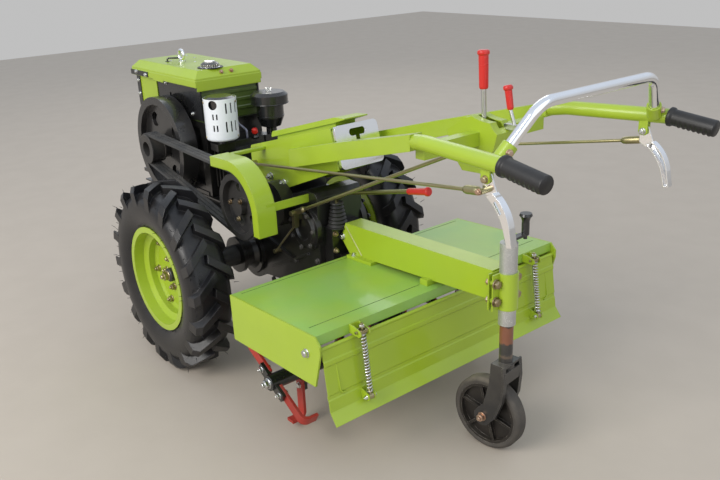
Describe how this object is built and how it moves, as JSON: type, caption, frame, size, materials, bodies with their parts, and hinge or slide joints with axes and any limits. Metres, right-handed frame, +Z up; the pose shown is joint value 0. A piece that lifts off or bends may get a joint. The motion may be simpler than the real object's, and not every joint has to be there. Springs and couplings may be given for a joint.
{
  "type": "walking tractor with rotary tiller",
  "caption": "Two-wheel walking tractor with a single-cylinder engine, belt drive, long handles, rotary tiller and castoring tail wheel.",
  "frame": {"origin": "on the ground under the middle of the whole machine, tyres and tail wheel standing at z = 0", "axes": "+X forward to the engine, +Y to the left, +Z up"},
  "size_m": [2.074, 0.8992, 1.0123],
  "materials": {
    "green_paint": "gloss",
    "black_casting": "satin",
    "black_paint": "satin",
    "black_iron": "satin",
    "tyre_rubber": "matt",
    "tail_rubber": "worn",
    "grip_rubber": "satin",
    "belt_rubber": "matt",
    "hose_rubber": "satin",
    "bright_chrome": "polished",
    "zinc_steel": "satin",
    "silver_paint": "satin",
    "white_paint": "satin",
    "tank_green": "satin",
    "red_plastic": "gloss",
    "red_paint": "worn"
  },
  "bodies": {
    "tractor": {"air_cleaner": "black_paint", "belt_guard": "green_paint", "chassis_rails": "black_paint", "control_rods": "zinc_steel", "cross_bar": "bright_chrome", "cylinder_head": "black_casting", "drive_belts": "belt_rubber", "engine_crankcase": "black_casting", "engine_hood": "green_paint", "fan_shroud": "black_paint", "front_panels": "green_paint", "fuel_hose": "hose_rubber", "fuel_tank": "tank_green", "gearbox_case": "black_casting", "grip_left": "grip_rubber", "grip_right": "grip_rubber", "handle_arm_left": "green_paint", "handle_arm_right": "green_paint", "handle_box": "green_paint", "lever_console": "green_paint", "lever_grips": "red_plastic", "lever_rods": "zinc_steel", "lifting_eye": "bright_chrome", "muffler_core": "black_paint", "muffler_shield": "white_paint", "panel_straps": "black_paint", "radiator": "black_paint", "shift_plate": "bright_chrome", "spring_brackets": "green_paint", "spring_pivots": "zinc_steel", "steering_levers": "bright_chrome", "tail_clamp": "green_paint", "tail_crank": "black_paint", "tail_sleeve": "silver_paint", "tank_cap": "bright_chrome", "tiller_beam": "green_paint", "tiller_case": "black_casting", "tiller_cover": "green_paint", "tiller_end_plates": "green_paint"},
    "drive_wheel_left": {"tyre_left": "tyre_rubber", "wheel_rim_left": "green_paint", "wheel_hub_left": "black_iron"},
    "drive_wheel_right": {"tyre_right": "tyre_rubber", "wheel_rim_right": "green_paint", "wheel_hub_right": "black_iron"},
    "flywheel_shaft": {"flywheel": "black_iron", "engine_pulley": "black_iron"},
    "clutch_shaft": {"clutch_pulley": "black_iron"},
    "rotor": {"rotor_shaft": "black_paint", "tines": "red_paint"},
    "apron": {"apron": "green_paint"},
    "spring_rods": {"spring_rods": "zinc_steel", "springs": "zinc_steel"},
    "tail_caster": {"tail_fork": "black_paint"},
    "tail_wheel": {"tail_wheel_hub": "black_paint", "tail_wheel_rubber": "tail_rubber"}
  },
  "joints": [
    {"name": "drive_wheel_left_spin", "type": "hinge", "parent": "tractor", "child": "drive_wheel_left", "pos_m": [0.317, 0.38, 0.294], "axis": [0, 1, 0], "continuous": true},
    {"name": "drive_wheel_right_spin", "type": "hinge", "parent": "tractor", "child": "drive_wheel_right", "pos_m": [0.317, -0.38, 0.294], "axis": [0, 1, 0], "continuous": true},
    {"name": "flywheel_spin", "type": "hinge", "parent": "tractor", "child": "flywheel_shaft", "pos_m": [0.704, 0.15, 0.603], "axis": [0, 1, 0], "continuous": true},
    {"name": "clutch_spin", "type": "hinge", "parent": "tractor", "child": "clutch_shaft", "pos_m": [0.117, 0.2, 0.527], "axis": [0, 1, 0], "continuous": true},
    {"name": "rotor_spin", "type": "hinge", "parent": "tractor", "child": "rotor", "pos_m": [-0.258, 0, 0.165], "axis": [0, 1, 0], "continuous": true},
    {"name": "apron_hinge", "type": "hinge", "parent": "tractor", "child": "apron", "pos_m": [-0.521, 0, 0.372], "axis": [0, 1, 0], "range_deg": [0, 25], "deforming": ["springs"]},
    {"name": "spring_rod_pivot", "type": "hinge", "parent": "apron", "child": "spring_rods", "pos_m": [-0.565, 0, 0.226], "axis": [0, 1, 0], "range_deg": [-1.6, 0]},
    {"name": "tail_swivel", "type": "hinge", "parent": "tractor", "child": "tail_caster", "pos_m": [-0.715, 0, 0.4], "axis": [0, 0, 1], "continuous": true},
    {"name": "tail_wheel_spin", "type": "hinge", "parent": "tail_caster", "child": "tail_wheel", "pos_m": [-0.67237, 0.00561, 0.1], "axis": [-0.1305, 0.9914, 0], "continuous": true}
  ],
  "couplings": [
    {"joint": "clutch_spin", "follows": "flywheel_spin", "ratio": 0.47917},
    {"joint": "spring_rod_pivot", "follows": "apron_hinge", "ratio": -0.064}
  ]
}
